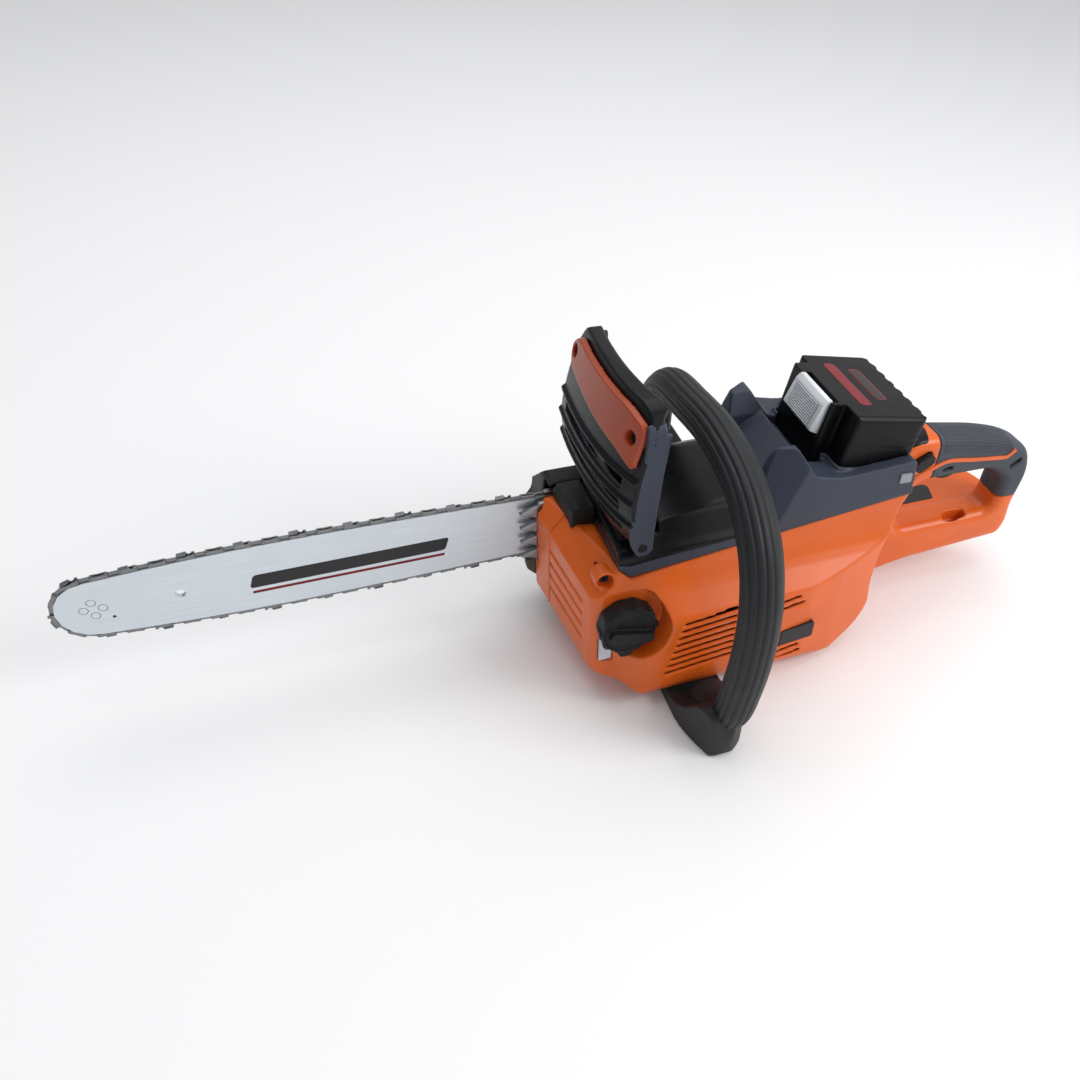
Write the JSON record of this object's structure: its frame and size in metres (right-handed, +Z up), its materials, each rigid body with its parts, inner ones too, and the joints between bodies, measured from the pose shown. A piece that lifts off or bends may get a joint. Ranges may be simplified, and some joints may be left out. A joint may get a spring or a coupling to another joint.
{
  "type": "battery_chainsaw",
  "caption": "Cordless battery chainsaw with guide bar, saw chain, front hand guard, wrap-round front handle and closed rear handle with trigger.",
  "frame": {"origin": "centre of the bounding box's bottom face, on the floor the saw stands on", "axes": "+X from the guide bar towards the rear handle, +Y towards the sprocket cover (operator's right), +Z up"},
  "size_m": [0.783, 0.2446, 0.2698],
  "materials": {
    "orange_plastic": "moulded, semi-gloss",
    "slate_plastic": "moulded, satin",
    "black_plastic": "moulded, fine grain",
    "soft_rubber": "ribbed soft grip",
    "bar_steel": "ground and polished",
    "bright_steel": "zinc plated",
    "dark_steel": "oiled, blued",
    "cast_alloy": "die cast",
    "winding_copper": "enamelled winding",
    "tank_plastic": "translucent natural plastic",
    "pump_brass": "machined",
    "latch_white": "moulded, satin",
    "board_green": "coated circuit board"
  },
  "bodies": {
    "housing": {"bar_nut_front": "bright_steel", "bar_nut_rear": "bright_steel", "bar_stud_front": "bright_steel", "bar_stud_rear": "bright_steel", "bumper_spike": "bright_steel", "chain_catcher": "black_plastic", "control_board": "board_green", "deck_cover": "black_plastic", "front_cap": "black_plastic", "front_handle": "soft_rubber", "gear_plate": "cast_alloy", "grip_cover": "soft_rubber", "guard_pin": "bright_steel", "housing_screw": "bright_steel", "left_housing": "orange_plastic", "motor_bearing_front": "bright_steel", "motor_bearing_rear": "bright_steel", "motor_stator": "winding_copper", "oil_pump": "pump_brass", "oil_tank": "tank_plastic", "oil_window": "tank_plastic", "output_bearing": "bright_steel", "rear_handle": "orange_plastic", "right_housing": "orange_plastic", "saw_chain": "dark_steel", "sprocket_cover": "black_plastic", "top_cover": "slate_plastic", "trigger_pin": "bright_steel", "trigger_switch": "black_plastic"},
    "bar": {"bar_plate_left": "bar_steel", "bar_core": "bar_steel", "bar_plate_right": "bar_steel", "nose_bearing_race": "bar_steel", "tension_block": "bright_steel"},
    "nose_wheel": {"nose_sprocket": "dark_steel"},
    "tensioner": {"tension_screw": "dark_steel"},
    "output": {"output_shaft": "bright_steel", "output_gear": "dark_steel", "drive_sprocket": "dark_steel"},
    "motor": {"motor_rotor": "dark_steel", "motor_shaft": "bright_steel", "cooling_fan": "black_plastic"},
    "guard": {"hand_guard": "slate_plastic", "guard_panel": "orange_plastic", "guard_screw_left": "bright_steel", "guard_screw_right": "bright_steel"},
    "trigger": {"trigger": "black_plastic"},
    "lock_off": {"lock_off_button": "black_plastic"},
    "filler_cap": {"oil_cap": "black_plastic"},
    "battery": {"battery_case": "black_plastic", "latch_spring": "bright_steel"},
    "latch": {"battery_latch": "latch_white"}
  },
  "joints": [
    {"name": "bar_tension", "type": "slide", "parent": "housing", "child": "bar", "axis": [1, 0, 0], "range_m": [0, 0.004]},
    {"name": "tension_screw_turn", "type": "hinge", "parent": "housing", "child": "tensioner", "pos_m": [-0.04023, 0.06033, 0.09], "axis": [-1, 0, 0], "range_deg": [-1, 1801]},
    {"name": "nose_wheel_spin", "type": "hinge", "parent": "bar", "child": "nose_wheel", "pos_m": [-0.36223, 0.07333, 0.105], "axis": [0, 1, 0], "continuous": true},
    {"name": "motor_spin", "type": "hinge", "parent": "housing", "child": "motor", "pos_m": [0.08477, 0.07333, 0.06807], "axis": [0, 1, 0], "continuous": true},
    {"name": "output_spin", "type": "hinge", "parent": "housing", "child": "output", "pos_m": [0.06477, 0.07333, 0.105], "axis": [0, 1, 0], "continuous": true},
    {"name": "guard_brake", "type": "hinge", "parent": "housing", "child": "guard", "pos_m": [0.01007, 0.02933, 0.1575], "axis": [0, -1, 0], "range_deg": [0, 16]},
    {"name": "trigger_pull", "type": "hinge", "parent": "housing", "child": "trigger", "pos_m": [0.29077, 0.02733, 0.131], "axis": [0, -1, 0], "range_deg": [0, 8], "stiffness_Nm_per_rad": 1.2, "springref_deg": -5.73},
    {"name": "lock_off_press", "type": "slide", "parent": "housing", "child": "lock_off", "axis": [0, 1, 0], "range_m": [0, 0.0035], "stiffness_N_per_m": 600, "springref_m": -0.003},
    {"name": "oil_cap_turn", "type": "hinge", "parent": "housing", "child": "filler_cap", "pos_m": [0.00077, -0.03667, 0.086], "axis": [0, -1, 0], "range_deg": [0, 120]},
    {"name": "battery_slide", "type": "slide", "parent": "housing", "child": "battery", "axis": [0.1994, 0, 0.9799], "range_m": [0, 0.09]},
    {"name": "latch_press", "type": "slide", "parent": "battery", "child": "latch", "axis": [0.9799, 0, -0.1994], "range_m": [0, 0.0025], "stiffness_N_per_m": 900, "springref_m": -0.002}
  ],
  "couplings": [
    {"joint": "tension_screw_turn", "follows": "bar_tension", "rad_per_m": 7854},
    {"joint": "output_spin", "follows": "motor_spin", "ratio": -0.27273},
    {"joint": "nose_wheel_spin", "follows": "motor_spin", "ratio": -0.18182}
  ]
}
